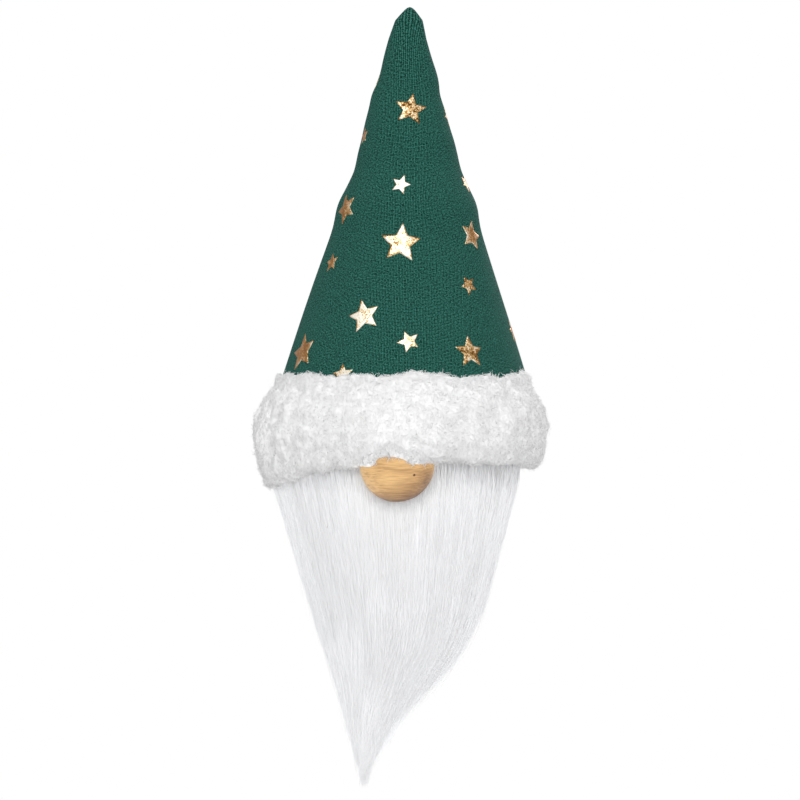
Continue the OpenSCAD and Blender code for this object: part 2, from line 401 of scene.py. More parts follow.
def plain_weave(tree, flat, pitch):
    """The heights of crossing threads, from flat cloth coordinates in millimetres."""
    turns = [calc(tree, "MULTIPLY", axis, math.pi / pitch) for axis in axes(tree, flat)[:2]]
    waves = [calc(tree, "SINE", t) for t in turns]
    over = calc(tree, "MULTIPLY", waves[0], waves[1])
    threads = [calc(tree, "ABSOLUTE", w) for w in waves]
    lifted = [fitted(tree, over, s, 0.5) for s in (0.5, -0.5)]
    crossed = [calc(tree, "MULTIPLY", t, s) for t, s in zip(threads, lifted)]
    return calc(tree, "MAXIMUM", crossed[0], crossed[1])


THREAD_PITCH = 0.6


def cotton_material():
    """Green plain-weave cotton, with slubs in its threads."""
    material, tree, shader = new_material("hat_cotton", Roughness=0.9, Specular_IOR_Level=0.12)
    flat = flat_mm(tree)
    height = plain_weave(tree, flat, THREAD_PITCH)
    specks = noise(tree, flat, 1.7, 2.0, 0.6)
    warp = noise(tree, stretched(tree, flat, (2.0, 0.16, 1)), 1.0, 2.0)
    weft = noise(tree, stretched(tree, flat, (0.16, 2.0, 1)), 1.0, 2.0)
    shade = weighted(tree, (height, 0.30), (specks, 0.62), (warp, 0.06), (weft, 0.06))
    put_ramp(tree, shader, shade, (0.37, (0.000, 0.005, 0.004)), (0.45, (0.002, 0.023, 0.016)),
             (0.52, (0.006, 0.058, 0.043)), (0.62, (0.050, 0.220, 0.175)))
    put_bump(tree, shader, height, 0.09)
    return material


FOIL_TAKE = 0.11  # how much brighter fully taken foil is
SLANT_PAINTED_SHADE = -0.12  # painted reflection: the foil's colour is painted darker when seen at a slant,
COPPER_TURN = 1.6  # and is painted copper this fast
COPPER_START = -0.25


def foil_material():
    """Gold hot foil that has taken unevenly on the threads, with a painted reflection that darkens it to
    copper at a slant.
    """
    material, tree, shader = new_material("foil_print", Metallic=0.95, Roughness=0.3)
    here = place_mm(tree)
    cracks = noise(tree, here, 1.5, 4.0, 0.62)
    patches = noise(tree, here, 0.28, 2.0)
    # painted reflection: the foil's colour darkens and turns copper the more it slants away from the view
    slant = add(tree, "ShaderNodeLayerWeight", {"Blend": 0.5}).outputs["Facing"]
    shade = weighted(tree, (cracks, 0.62), (patches, 0.38), (slant, SLANT_PAINTED_SHADE),
                     (fitted(tree, own_tone(tree), 1.0, -0.5), FOIL_TAKE))
    gold = ramp(tree, shade, (
        (0.37, (0.07, 0.030, 0.008)), (0.43, (0.38, 0.20, 0.06)),
        (0.485, (0.86, 0.60, 0.28)), (0.54, (1.0, 0.95, 0.82))))
    painted_reflection_share = fitted(tree, slant, COPPER_TURN, COPPER_START)
    put_colour(tree, shader, mixed(tree, painted_reflection_share, gold, (0.46, 0.185, 0.036, 1)))
    put_bump(tree, shader, cracks, 0.12)
    return material


# White fibres pass light on from one to the next many more times than a render follows, so they
# get a little light of their own.
FIBRE_GLOW = 0.21
GLOWING = {"Emission_Color": (1, 1, 1, 1), "Emission_Strength": FIBRE_GLOW}
BRIM_SHADE_Z = 10.4  # painted shade on the beard's glow: none of it above this height,
BRIM_SHADE = 16  # and all of it this far below
NOSE_SHADE_R = 12  # painted shade round the nose: none of it this near to the middle of the nose,
NOSE_SHADE = 8  # and all of it this much further out


def fur_material(name, dark, light):
    """White fibre whose shade goes from hair to hair, with its nodes and its shader."""
    material, tree, shader = new_material(name, Roughness=0.7, Specular_IOR_Level=0.2,
                                          Sheen_Weight=0.15, Sheen_Roughness=0.5, **GLOWING)
    put_ramp(tree, shader, own_tone(tree), (0.0, dark), (1.0, light))
    return material, tree, shader


def beard_material():
    """The beard's white fibre, whose painted glow fades out close under the brim and the nose, as painted
    shade.
    """
    material, tree, shader = fur_material("beard_fibre", (0.78, 0.785, 0.80), (0.93, 0.935, 0.95))
    here = place_mm(tree)
    # painted shade: the fibre's glow is faded out under the brim and round the nose
    open_below = fitted(tree, axes(tree, here)[2], -1 / BRIM_SHADE, BRIM_SHADE_Z / BRIM_SHADE)
    open_beside = fitted(tree, distance(tree, here, NOSE_CENTRE), 1 / NOSE_SHADE,
                         -NOSE_SHADE_R / NOSE_SHADE)
    painted_glow_share = calc(tree, "MINIMUM", calc(tree, "MINIMUM", open_below, open_beside), 1.0)
    painted_glow_share = calc(tree, "MAXIMUM", painted_glow_share, 0.0)
    tree.links.new(calc(tree, "MULTIPLY", painted_glow_share, FIBRE_GLOW), shader.inputs["Emission Strength"])
    return material


def fleece_base_material():
    """The knotty ground of the curly fleece, seen only between its curls."""
    material, tree, shader = new_material("brim_ground", Roughness=0.9, Specular_IOR_Level=0.2,
                                          Sheen_Weight=0.2, Sheen_Roughness=0.5, **GLOWING)
    knots = noise(tree, place_mm(tree), 1.1, 5.0, 0.65)
    put_ramp(tree, shader, knots, (0.3, (0.84, 0.84, 0.84)), (0.7, (0.93, 0.93, 0.93)))
    put_bump(tree, shader, knots, 0.35)
    return material


RING_LINES = 4.2  # growth lines, as turns of a wave for each mm
PORE_PLACE = (6.9, -12.7, -4.0)  # from the middle of the ball
PORE_R = 0.55


def wood_material():
    """Sanded pale wood with fine growth lines and a small pore, with painted shade towards its lower
    right.
    """
    material, tree, shader = new_material("nose_wood", Roughness=0.42, Specular_IOR_Level=0.5,
                                          Coat_Weight=0.12, Coat_Roughness=0.3)
    centred = add(tree, "ShaderNodeVectorMath",
                  {0: place_mm(tree), 1: tuple(-NOSE_CENTRE)}, operation="ADD").outputs[0]
    x, z = axes(tree, centred)[::2]
    drift = noise(tree, stretched(tree, centred, (0.03, 0.05, 0.10)), 1.0, 2.0)
    level = weighted(tree, (z, 1.0), (calc(tree, "MULTIPLY", x, x), -0.011), (drift, 7.0))
    rings = calc(tree, "SINE", calc(tree, "MULTIPLY", level, RING_LINES))
    rings = calc(tree, "POWER", fitted(tree, rings, 0.5, 0.5), 3.0)
    fibre = noise(tree, stretched(tree, centred, (0.12, 0.5, 3.2)), 1.0, 4.0, 0.6)
    broad = noise(tree, stretched(tree, centred, (0.04, 0.1, 0.16)), 1.0, 2.0)
    # painted shade: the ball's colour darkens towards its lower right, where it lies in shade
    painted_low_shade = weighted(tree, (x, 0.4 / NOSE_R), (z, -0.9 / NOSE_R))
    painted_low_shade = calc(tree, "MAXIMUM", painted_low_shade, 0.0)
    painted_low_shade = calc(tree, "MULTIPLY", painted_low_shade, painted_low_shade)
    shade = weighted(tree, (fibre, 0.40), (broad, 0.55), (rings, -0.035), (painted_low_shade, -0.42))
    grain = ramp(tree, shade, ((0.12, (0.26, 0.130, 0.052)), (0.34, (0.60, 0.340, 0.142)),
                               (0.47, (0.92, 0.575, 0.245)), (0.62, (1.0, 0.67, 0.315))))
    pore = calc(tree, "LESS_THAN", distance(tree, centred, PORE_PLACE), PORE_R)
    put_colour(tree, shader, mixed(tree, pore, grain, (0.14, 0.06, 0.025, 1)))
    put_bump(tree, shader, shade, 0.10)
    return material


def felt_material(name, dark, light):
    """Matted fibre with a soft fuzz."""
    material, tree, shader = new_material(name, Roughness=0.95, Specular_IOR_Level=0.15,
                                          Sheen_Weight=0.15, Sheen_Roughness=0.6)
    fibres = noise(tree, stretched(tree, place_mm(tree), (1.6, 1.6, 0.5)), 1.4, 5.0, 0.65)
    put_ramp(tree, shader, fibres, (0.3, dark), (0.7, light))
    put_bump(tree, shader, fibres, 0.35)
    return material


def knit_material():
    """The off-white knitted ground of the beard's fur, in fine wales."""
    material, tree, shader = new_material("beard_knit", Roughness=0.9, Specular_IOR_Level=0.2,
                                          Sheen_Weight=0.1, Sheen_Roughness=0.5)
    flat = flat_mm(tree)
    x, y = axes(tree, flat)[:2]
    wale = calc(tree, "ABSOLUTE", calc(tree, "SINE", calc(tree, "MULTIPLY", x, 3.0)))
    course = calc(tree, "SINE", weighted(tree, (y, 5.2), (wale, 2.4)))
    loops = calc(tree, "MULTIPLY", wale, fitted(tree, course, 0.3, 0.7))
    stain = noise(tree, flat, 0.3, 3.0)
    shade = weighted(tree, (loops, 0.4), (stain, 0.6))
    put_ramp(tree, shader, shade, (0.2, (0.60, 0.59, 0.56)), (0.7, (0.84, 0.83, 0.80)))
    put_bump(tree, shader, loops, 0.25)
    return material


def card_material():
    """Grey-brown board with paper fibres."""
    material, tree, shader = new_material("ring_card", Roughness=0.85, Specular_IOR_Level=0.25)
    fibres = noise(tree, stretched(tree, place_mm(tree), (0.6, 0.6, 1.6)), 1.8, 6.0, 0.7)
    put_ramp(tree, shader, fibres, (0.3, (0.24, 0.165, 0.10)), (0.6, (0.36, 0.26, 0.165)),
             (0.8, (0.46, 0.36, 0.25)))
    put_bump(tree, shader, fibres, 0.08)
    return material


def thread_material(name, dark, light):
    """Twisted sewing thread."""
    material, tree, shader = new_material(name, Roughness=0.7, Specular_IOR_Level=0.3,
                                          Sheen_Weight=0.1, Sheen_Roughness=0.5)
    twist = add(tree, "ShaderNodeTexWave",
                {"Vector": place_mm(tree), "Scale": 2.2, "Distortion": 1.0},
                bands_direction="DIAGONAL").outputs["Fac"]
    put_ramp(tree, shader, twist, (0.2, dark), (0.8, light))
    put_bump(tree, shader, twist, 0.05)
    return material


def glue_material():
    """Cured hot-melt glue, cloudy and slightly yellow."""
    material, tree, shader = new_material("craft_glue", Roughness=0.35, Specular_IOR_Level=0.5)
    cloud = noise(tree, place_mm(tree), 0.5, 3.0)
    put_ramp(tree, shader, cloud, (0.3, (0.62, 0.56, 0.42)), (0.7, (0.78, 0.73, 0.60)))
    put_bump(tree, shader, cloud, 0.3)
    return material


# ---- hat

HAT_KNEE_Z = 125.5  # where the cone's slope changes
HAT_LOW_SLOPE = 0.324
HAT_TIP_SLOPE = 0.276
TUCK_SLOPE = 0.1  # the cloth is pressed in under the brim
HAT_BRIM_R = 49.8
TIP_ROUND = 5.5  # length of the rounded end of the tip
CLOTH_T = 0.8
CONE_ANGLE = math.atan(0.31)
FELT_T = 1.2
FELT_GAP = 0.15  # between the cloth and the felt
FELT_OPEN = 4.5  # half the gap in the felt along the back seam
# Folds that run right round, as (height, half width, how far out).
ROUND_FOLDS = ((112, 7, 1.5), (127, 5, -0.4))
# Folds on one side, as (height, half width, how far out, the turn that they face).
SIDE_FOLDS = ((139, 5, 0.5, 0.5), (157, 4, -0.5, 1.5), (165, 6, -0.45, -1.4))


def hat_lean(z):
    """How far the hat's axis leans towards +X at a height."""
    rise = np.clip((z - BRIM_TOP) / (HAT_KNEE_Z - BRIM_TOP), -0.3, 1)
    return 1.7 + 1.4 * rise - 0.4 * bump(z, 146, 12) + 0.9 * np.clip((z - 180) / 12, 0, 1)


def hat_radius(turn, z):
    """The cloth's outer radius, with its soft folds, the back seam and the blunt tip."""
    low = HAT_BRIM_R - np.where(z < BRIM_TOP, TUCK_SLOPE, HAT_LOW_SLOPE) * (z - BRIM_TOP)
    knee_r = HAT_BRIM_R - HAT_LOW_SLOPE * (HAT_KNEE_Z - BRIM_TOP)
    high = knee_r - HAT_TIP_SLOPE * (z - HAT_KNEE_Z)
    radius = np.where(z < HAT_KNEE_Z, low, high)
    for height, width, out in ROUND_FOLDS:
        radius = radius + out * bump(z, height, width)
    for height, width, out, way in SIDE_FOLDS:
        radius = radius + out * bump(z, height, width) * np.cos(turn - way)
    radius = radius - 1.5 * bump(z + 16 * (turn - 0.45), 99, 2.6) * bump(turn, 0.5, 0.3)
    tension = np.cos(2 * turn + 0.05 * z) + 0.5 * np.cos(5 * turn - 0.07 * z + 1)
    radius = radius + 0.28 * tension * np.clip(radius / 30, 0.15, 1)
    off_seam = (math.pi - np.abs((turn + math.pi) % TAU - math.pi)) * radius
    radius = radius - 0.45 * bump(off_seam, 0, 0.55) + 0.25 * bump(off_seam, 2.2, 1.3)
    blunt = np.sqrt(np.clip((HAT_TOP - z) / TIP_ROUND, 0, 1))
    return np.maximum(radius * blunt, 0.02)


def hat_points(turn, z, out=0.0):
    """Points on the cloth's outer face, or out millimetres outside it."""
    radius = hat_radius(turn, z)
    step = 0.5
    slope = (hat_radius(turn, z + step) - hat_radius(turn, z - step)) / (2 * step)
    lift = np.sqrt(1 + np.clip(slope, -3, 3) ** 2)
    r = np.maximum(radius + out / lift, 0.01)
    points = polar(turn, r, z - out * np.clip(slope, -3, 3) / lift)
    points[..., 0] += hat_lean(z)
    return points


def flat_cloth(turn, z):
    """Where a point of the cone lay in the flat cloth, in millimetres."""
    slant = (HAT_TOP + 2 - z) / math.cos(CONE_ANGLE)
    angle = turn * math.sin(CONE_ANGLE)
    return np.stack([slant * np.sin(angle), slant * np.cos(angle)], axis=-1)


def cone_grid(low_z, high_z, rows, cols, ease=1.0):
    """Turns and heights over a cone; more than 1 of ease packs rows towards the top."""
    share = 1 - (1 - np.linspace(0, 1, rows)) ** ease
    turns = np.linspace(-math.pi, math.pi, cols)
    return np.meshgrid(turns, low_z + share * (high_z - low_z), indexing="xy")


def across_tip(piece):
    """Bakes a piece's placement into its mesh; it is not bent between the hat and its tip."""
    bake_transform(piece)


def sector(low_z, high_z):
    """The flat width and height, and the area, of the cone's cloth between two heights."""
    slant = (HAT_TOP - low_z) / math.cos(CONE_ANGLE) * MM
    cut_off = (HAT_TOP - high_z) / math.cos(CONE_ANGLE) * MM
    spread = math.pi * math.sin(CONE_ANGLE)
    return (2 * slant * math.sin(spread), slant), spread * (slant ** 2 - cut_off ** 2)


def make_hat_cloth(material):
    """The printed cloth: one cone with a turned-in back seam and a creased, stuffed tip."""
    turn, z = cone_grid(HEM_Z, HAT_TOP - 0.02, 190, 181, 1.25)
    piece = sheet_piece("hat_cloth_skin", hat_points(turn, z), hat_points(turn, z, -CLOTH_T),
                        False, uvs={"flat": flat_cloth(turn, z)})
    settle(piece, material, "hat_cotton", across_tip, "hat_cloth", "hat_fold_band", "hat_tip_cloth")
    flat, area = sector(HEM_Z, HAT_TOP)


# Foil print as (turn in degrees, height, size, spin in degrees, how fully the foil has taken).
FRONT_STARS = (
    (6, 150.5, 6.9, -10, 0.3), (-6, 119.5, 4.2, -18, 1.0), (-4, 95.5, 9.0, -4, 0.6),
    (-23.5, 66, 7.1, 18, 1.0), (2, 55.5, 4.8, 23, 1.0), (34.5, 51.3, 6.8, 0, 0.3),
    (-30, 42.2, 4.8, 8, 0.7), (57, 99, 6.6, -20, 0.5), (42, 78.5, 4.2, 26, 0.3),
    (-60, 110, 6.6, 30, 0.5), (-61, 88, 4.2, 14, 0.4), (-62, 51.5, 8.2, 20, 0.4),
    (-70, 140, 3.6, 16, 0.5), (76, 120.5, 3.8, 30, 0.5), (84, 60, 5.0, 8, 0.5))
BACK_STARS = (
    (118, 84, 6.6, 25, 0.6), (100, 106, 4.2, 40, 0.4), (104, 50, 6.8, 12, 0.5),
    (136, 63, 4.4, 5, 0.9), (150, 98, 7.6, 33, 0.5), (167, 52, 5.6, 18, 0.8),
    (-166, 78, 4.2, 26, 0.4), (-150, 110, 5.4, 8, 0.7), (-146, 55, 7.8, 40, 0.5),
    (-124, 88, 6.2, 15, 0.9), (-104, 66, 4.4, 30, 0.5), (-98, 103, 4.0, 22, 0.6),
    (-120, 44.5, 4.6, 9, 0.5), (128, 128, 5.2, 12, 0.8), (-158, 146, 5.8, 30, 0.5),
    (-92, 162, 3.4, 3, 0.6), (92, 148, 4.6, 20, 0.4), (165, 166, 3.6, 11, 0.7))
FOIL_WAIST = 0.48
FOIL_PROUD = 0.09
STAR_STEPS = 5


def star_points(size, spin, rng):
    """A filled star's points, triangles and rim, drawn flat, with slightly uneven edges."""
    corners = np.arange(10)
    reach = size * np.where(corners % 2 == 0, 1.0, FOIL_WAIST) * (1 + 0.04 * rng.normal(size=10))
    angle = math.radians(spin) + corners * TAU / 10 + math.pi / 2
    tips = np.stack([reach * np.cos(angle), reach * np.sin(angle)], axis=-1)
    points, triangles = [np.zeros(2)], []
    rows = [[0] * 10]
    for k in range(1, STAR_STEPS + 1):
        ring = []
        for i in range(10):
            for s in range(k):
                ring.append(len(points))
                points.append((tips[i] * (k - s) + tips[(i + 1) % 10] * s) / STAR_STEPS)
        rows.append(ring)
    for k in range(1, STAR_STEPS + 1):
        outer, inner = rows[k], rows[k - 1] if k > 1 else [0]
        for i in range(10):
            for s in range(k):
                a, b = outer[i * k + s], outer[(i * k + s + 1) % (10 * k)]
                c = inner[(i * (k - 1) + s) % len(inner)]
                triangles.append((a, b, c))
                if s < k - 1:
                    d = inner[(i * (k - 1) + s + 1) % len(inner)]
                    triangles.append((b, d, c))
    return np.array(points), np.array(triangles), np.array(rows[-1])


def make_foil(material):
    """All the stars as thin foil that follows the cloth."""
    rng = np.random.default_rng(11)
    points, triangles, walls, takes = [], [], [], []
    count = 0
    for turn, height, size, spin, taken in FRONT_STARS + BACK_STARS:
        flat, faces, rim = star_points(size, spin, rng)
        radius = hat_radius(math.radians(turn), np.array(float(height)))
        turns = math.radians(turn) + flat[:, 0] / radius
        heights = height + flat[:, 1] * math.cos(CONE_ANGLE)
        points += [hat_points(turns, heights, out) for out in (FOIL_PROUD, -FOIL_PROUD)]
        takes.append(np.full(2 * len(flat), taken))
        triangles += [faces + count, faces[:, ::-1] + count + len(flat)]
        walls.append(strip_quads(rim[::-1] + count, rim[::-1] + count + len(flat), True))
        count += 2 * len(flat)
    piece = new_piece("foil_star_print", np.concatenate(points),
                      [np.concatenate(triangles), np.concatenate(walls)],
                      {"tone": np.concatenate(takes)})
    settle(piece, material, "foil_print", across_tip, "foil_stars", "tip_stars")


def make_stiffener(material):
    """The felt cone inside the cloth, open along the back where the seam is turned in."""
    low_z, high_z = cad_heights("stiffener_cone")
    z = np.linspace(low_z, high_z, 60)[:, None]
    edge = math.pi - FELT_OPEN / hat_radius(0.0, z)
    turn = np.linspace(-1, 1, 121)[None, :] * edge
    z = z + 0 * turn
    skin = CLOTH_T + FELT_GAP
    piece = sheet_piece("stiffener_felt", hat_points(turn, z, -skin), hat_points(turn, z, -skin - FELT_T),
                        False)
    settle(piece, material, "stiffener_felt", on_hat, "stiffener_cone")
    flat, area = sector(low_z, high_z)


def make_wad(name, node, carry, inset, rng, material):
    """A wad of fibre stuffing that fills the cone over a CAD node's height."""
    low_z, high_z = cad_heights(node)
    rows, cols = 40, 72
    ring = np.linspace(0, 1, rows)
    turn = np.linspace(-math.pi, math.pi, cols, endpoint=False)
    height = low_z + (high_z - low_z) * (0.5 - 0.5 * np.cos(math.pi * ring))
    fill = np.clip(np.sin(math.pi * ring), 0, 1) ** 0.28
    turns, heights = np.meshgrid(turn, height)
    edge = hat_points(turns, heights, -inset)
    middle = np.stack([hat_lean(heights), 0 * heights, heights], axis=-1)
    points = middle + (edge - middle) * fill[:, None, None]
    points[..., 2] = heights
    lumps = ripple(points, 9, rng) * 0.35 + ripple(points, 3.5, rng) * 0.2
    points = points + unit(middle - edge) * np.abs(lumps)[..., None]
    points[..., 2] += 0.8 * lumps * (1 - fill[:, None])
    piece = closed_form(name, points)
    settle(piece, material, "stuffing", carry, node)


STITCH_LOW, STITCH_HIGH = 34, 116
STITCH_PITCH = 3.4
STITCH_LENGTH = 2.5
THREAD_R = 0.22


def make_seam_stitches(material):
    """Running stitches through the turned-in cloth along the back."""
    rng = np.random.default_rng(5)
    heights = np.arange(STITCH_LOW, STITCH_HIGH, STITCH_PITCH)
    share = np.linspace(0, 1, 9)
    z = heights[:, None] + STITCH_LENGTH * share
    depth = CLOTH_T + 0.5 + 0.35 * np.sin(math.pi * share)
    turn = math.pi + 0 * z + rng.normal(0, 0.002, (len(heights), 1))
    paths = hat_points(turn, z, -depth - 0 * z)
    radii = np.full(paths.shape[:2], THREAD_R)
    side_on = np.tile([1.0, 0, 0], (len(heights), 1))
    piece = strand_piece("seam_stitches", paths, radii, np.full(len(heights), 0.5), side_on)
    settle(piece, material, "green_thread", on_hat, "seam_thread")


# ---- brim

BRIM_R = 57.8  # outer radius of the ground under the curls
BRIM_INNER_R = 47.3
BRIM_POWER = 0.62  # squareness of the section: 1 is an ellipse
SHOULDER = 8.8  # how far the brim's upper edge draws in
BRIM_LEAN = 1.6  # and how far it leans towards +X
NOSE_TURN = NOSE_CENTRE[0] / -NOSE_CENTRE[1]
NOSE_ARC = 0.27  # half the turn over which the brim rides over the nose
NOSE_RISE = 10.5  # how far it stands out there
NOSE_LID_Z = 6.5  # no curls lie on the ball below this height
LUMP = 2.5  # size of the lumps that the curls lie in
LUMP_RISE = 0.4
LUMP_SUNK = 0.35  # how deep the middle of a lump lies, in its sizes
RING_T = 1.2  # thickness of the card ring
RING_HIDDEN = 1.5  # how far above the fleece's lower edge the ring ends
RING_RISE = 1.6  # how much faster than the fleece's its edge rises
CURLS = 42000
CURL_STEPS = 10  # points along a curl
CURL_R = (0.07, 0.115)  # least and most at the root
CURL_ARC = (0.8, 2.4)  # least and most, in radians round the lump
CRIMP_R = (0.12, 0.42)
CRIMP_TURNS = (1.0, 2.4)  # along a curl
LOOSE_CURLS = 0.14  # share of the curls whose ends stand away
ON_FACE, ON_LOW_EDGE = 0.68, 0.19  # shares of the curls; the rest lie on the upper edge
# The brim's lower edge, as (turn in degrees, height).
BRIM_LOW = ((-180, 0), (-95, -2.5), (-62, -2), (-46, 2.5), (-28, 5), (-15, 6.5), (14, 7),
            (28, 7), (60, 7.2), (90, 6.4), (130, 2.5), (180, 0))


def brim_low(turn):
    """The height of the brim's lower edge, by the turn from -pi to pi."""
    return np.interp(np.degrees(turn), *np.array(BRIM_LOW).T)


def brim_surface(turn, a):
    """The smooth form of the brim, a ring with a rounded section; a runs round the section."""
    p = np.sign(np.cos(a)) * np.abs(np.cos(a)) ** BRIM_POWER
    q = np.sign(np.sin(a)) * np.abs(np.sin(a)) ** BRIM_POWER
    wrapped = (turn + math.pi) % TAU - math.pi
    over_nose = bump(wrapped, NOSE_TURN, NOSE_ARC)
    low_z = brim_low(wrapped)
    high_z = BRIM_TOP - 0.4 + 0.6 * np.sin(5 * turn + 1) + 0.5 * np.sin(11 * turn)
    z = low_z + (high_z - low_z) * (q + 1) / 2
    on_cloth = hat_radius(turn, np.maximum(z, HEM_Z)) - 0.1
    inner = np.where(z < HEM_Z - 1, BRIM_INNER_R, on_cloth)
    shoulder = SHOULDER * (1 + 0.05 * np.sin(turn)) * np.clip((z - 24) / 18, 0, 1.1) ** 2
    side = np.sin(turn)
    full_side = 2.3 * np.clip(-side, 0, 1) ** 2 * bump(z, 20, 9)
    slack_side = 2.2 * np.clip(side, 0, 1) ** 2 * bump(z, 36, 6)
    outer = BRIM_R + 1.6 * side + 0.6 * np.sin(3 * turn + 0.7) - shoulder + full_side - slack_side
    outer = np.maximum(outer + NOSE_RISE * over_nose * bump(z, 12, 15), inner + 1.7)
    r = inner + (outer - inner) * (p + 1) / 2
    points = polar(turn, r, z)
    points[..., 0] += BRIM_LEAN * np.clip((z - HEM_Z) / (BRIM_TOP - HEM_Z), 0, 1)
    swell = (0.6 * ripple(points, 14, np.random.default_rng(3))
             + 0.35 * ripple(points, 7, np.random.default_rng(4)))
    points = points + brim_away(turn, a) * (swell * np.clip(p + 0.6, 0, 1))[..., None]
    return outside_nose(points, 0.3)


def brim_away(turn, a):
    """Directions straight out from the middle of the brim's section."""
    return polar(turn, np.cos(a), np.sin(a))


def outside_nose(points, gap):
    """The points, with those inside the nose's ball moved straight out of it."""
    away = points - NOSE_CENTRE
    far = np.linalg.norm(away, axis=-1, keepdims=True)
    return np.where(far < NOSE_R + gap, NOSE_CENTRE + away / far * (NOSE_R + gap), points)


def brim_normals(turn, a):
    """Outward normals of the brim's smooth form."""
    step = 0.02
    along = brim_surface(turn + step, a) - brim_surface(turn - step, a)
    round_it = brim_surface(turn, a + step) - brim_surface(turn, a - step)
    return unit(np.cross(along, round_it))


def lump_centres(points):
    """The centre of the lump nearest to each point."""
    cells = (points / LUMP).reshape(-1, 3)
    nearest = [solid_noise.voronoi(cell)[1][0] for cell in cells]
    return LUMP * np.array(nearest).reshape(points.shape)


def lump_height(points, centres):
    """How far the fleece's lumps rise at each point."""
    share = np.linalg.norm(points - centres, axis=-1) / LUMP
    return LUMP_RISE * np.clip(1 - share ** 2, 0, 1)


def make_brim_ground(material):
    """The plump lumpy ring of fleece that the curls lie on."""
    rows, cols = 150, 620
    turns = np.linspace(-math.pi, math.pi, cols, endpoint=False)
    share = np.linspace(-1, 1, rows, endpoint=False)
    around = math.pi * np.sign(share) * np.abs(share) ** 1.15
    turn, a = np.meshgrid(turns, around)
    points = brim_surface(turn, a)
    rise = lump_height(points, lump_centres(points))
    rise = rise * np.clip(1.6 + 2 * np.cos(a), 0, 1)
    points = outside_nose(points + brim_normals(turn, a) * rise[..., None], 0.15)
    numbers = np.arange(rows * cols).reshape(rows, cols)
    piece = new_piece("brim_fleece_ground", points.reshape(-1, 3),
                      [grid_quads(rows, cols, True), strip_quads(numbers[-1], numbers[0], True)])
    settle(piece, material, "brim_sherpa", on_hat, "brim_fleece", "brim_wadding")


def brim_places(count, rng):
    """Turns and section angles spread evenly over the brim's outer face, top and bottom."""
    turn = rng.uniform(-math.pi, math.pi, count)
    face = rng.uniform(0, 1, count)
    upright = rng.uniform(-1, 1, count)
    flatwise = rng.uniform(-0.9, 1, count)
    on_face = np.arcsin(np.sign(upright) * np.abs(upright) ** (1 / BRIM_POWER))
    on_edge = np.arccos(np.sign(flatwise) * np.abs(flatwise) ** (1 / BRIM_POWER))
    return turn, np.where(face < ON_FACE, on_face,
                          np.where(face < ON_FACE + ON_LOW_EDGE, -on_edge, on_edge))


def curl_paths(root, normal, share, rng):
    """Fine crimped hairs that wrap each lump of the fleece; also their ways out, middles and sides."""
    count = len(root)
    centres = lump_centres(root)
    aside = root - centres
    aside = aside - normal * (aside * normal).sum(-1, keepdims=True)
    sunk = LUMP_SUNK * LUMP
    ball = root - aside - normal * sunk
    rise = lump_height(root, centres)[:, None]
    middle = unit(aside + normal * (sunk + rise))
    ball_r = np.linalg.norm(aside + normal * (sunk + rise), axis=1)
    sideways = unit(np.cross(middle, rng.normal(size=middle.shape)))
    arc = rng.uniform(*CURL_ARC, (count, 1)) * (share - 0.5)
    out = (np.cos(arc)[..., None] * middle[:, None] + np.sin(arc)[..., None] * sideways[:, None])
    third = np.cross(out, sideways[:, None])
    loose = np.where(rng.uniform(size=(count, 1)) < LOOSE_CURLS, rng.uniform(0.5, 1.7, (count, 1)), 0.3)
    lift = rng.uniform(-0.1, 0.55, (count, 1)) + loose * share ** 2
    turns = rng.uniform(0, TAU, (count, 1)) + TAU * rng.uniform(*CRIMP_TURNS, (count, 1)) * share
    crimp = rng.uniform(*CRIMP_R, (count, 1))
    paths = (ball[:, None] + out * (ball_r[:, None] + lift + crimp * np.sin(turns))[..., None]
             + third * (crimp * np.cos(turns))[..., None])
    return paths, out, middle, sideways


def make_brim_curls(material):
    """The fleece's curls, clear of the hat's cloth and of the front of the nose."""
    rng = np.random.default_rng(21)
    turn, a = brim_places(CURLS, rng)
    root, normal = brim_surface(turn, a), brim_normals(turn, a)
    share = np.linspace(0, 1, CURL_STEPS)
    paths, out, middle, sideways = curl_paths(root, normal, share, rng)
    from_axis = np.hypot(paths[..., 0] - hat_lean(paths[..., 2]), paths[..., 1])
    in_hat = (from_axis < hat_radius(turn[:, None], paths[..., 2]) + 0.1) & (paths[..., 2] > HEM_Z)
    on_ball = np.linalg.norm(root - NOSE_CENTRE, axis=1) < NOSE_R + 0.6
    clear = ~in_hat.any(axis=1) & ~(on_ball & (root[:, 2] < NOSE_LID_Z))
    paths = outside_nose(paths, rng.uniform(0.4, 1.2, (CURLS, 1, 1)))
    width = rng.uniform(*CURL_R, (CURLS, 1)) * (1 - 0.7 * share ** 3)
    smooth = unit(0.35 * normal + 0.65 * brim_away(turn, a))
    facing = unit(0.2 * out + 0.8 * smooth[:, None])
    tone = np.clip(rng.normal(0.6, 0.15, CURLS), 0, 1)
    for piece in strand_pieces("brim_curls", paths[clear], width[clear], tone[clear],
                               sideways[clear] + 0.3 * middle[clear], facing[clear], rng):
        settle(piece, material, "brim_sherpa", on_hat)


def make_ring(material):
    """The card ring inside the fleece, with its lower edge cut along the fleece's."""
    low, high = cad_mm("brim_ring")
    turn = np.linspace(-math.pi, math.pi, 181)[None, :-1]
    edge = np.maximum(RING_RISE * brim_low(turn) + RING_HIDDEN, low[2])
    z = edge + (high[2] - edge) * np.linspace(0, 1, 12)[:, None]
    piece = sheet_piece("card_ring", polar(turn, high[0], z), polar(turn, high[0] - RING_T, z), True)
    settle(piece, material, "ring_card", on_hat, "brim_ring")


# ---- nose

